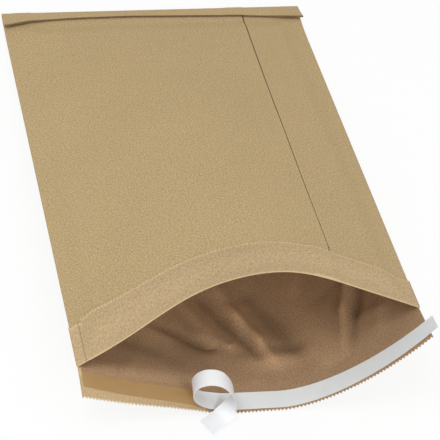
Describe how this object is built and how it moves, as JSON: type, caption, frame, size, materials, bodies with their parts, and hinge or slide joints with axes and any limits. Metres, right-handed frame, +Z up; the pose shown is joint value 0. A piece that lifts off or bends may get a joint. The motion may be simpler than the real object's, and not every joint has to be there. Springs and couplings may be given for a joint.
{
  "type": "padded envelope",
  "caption": "Padded mailing envelope of two kraft paper sheets with fibre pads between them, standing open, with a turned-over cuff and a closing strip under a half-peeled release liner.",
  "frame": {"origin": "the middle of the flat underside, half way between the closed end and the mouth", "axes": "+Y points to the closed end, -Y to the open mouth, +X to the right crease as seen from the mouth, +Z up from the floor"},
  "size_m": [0.2696, 0.4515, 0.1114],
  "materials": {
    "outer_kraft": "matte golden brown kraft paper with a fine fibre grain",
    "inner_kraft": "matte brown kraft paper, a little smoother than the outside",
    "paper_fibre": "loose grey shredded paper fibre",
    "dried_glue": "dried cream-coloured paper glue",
    "closing_adhesive": "clear amber pressure-sensitive adhesive on kraft",
    "release_liner": "thin satin release film, bluish white, translucent"
  },
  "bodies": {
    "root": {"outer_sheet": "outer_kraft", "inner_sheet": "inner_kraft", "front_pad": "paper_fibre", "back_pad": "paper_fibre", "outer_seam_glue": "dried_glue", "inner_seam_glue": "dried_glue", "end_flap_glue": "dried_glue", "cuff_glue": "dried_glue", "closing_strip": "closing_adhesive", "release_liner": "release_liner"}
  },
  "joints": []
}
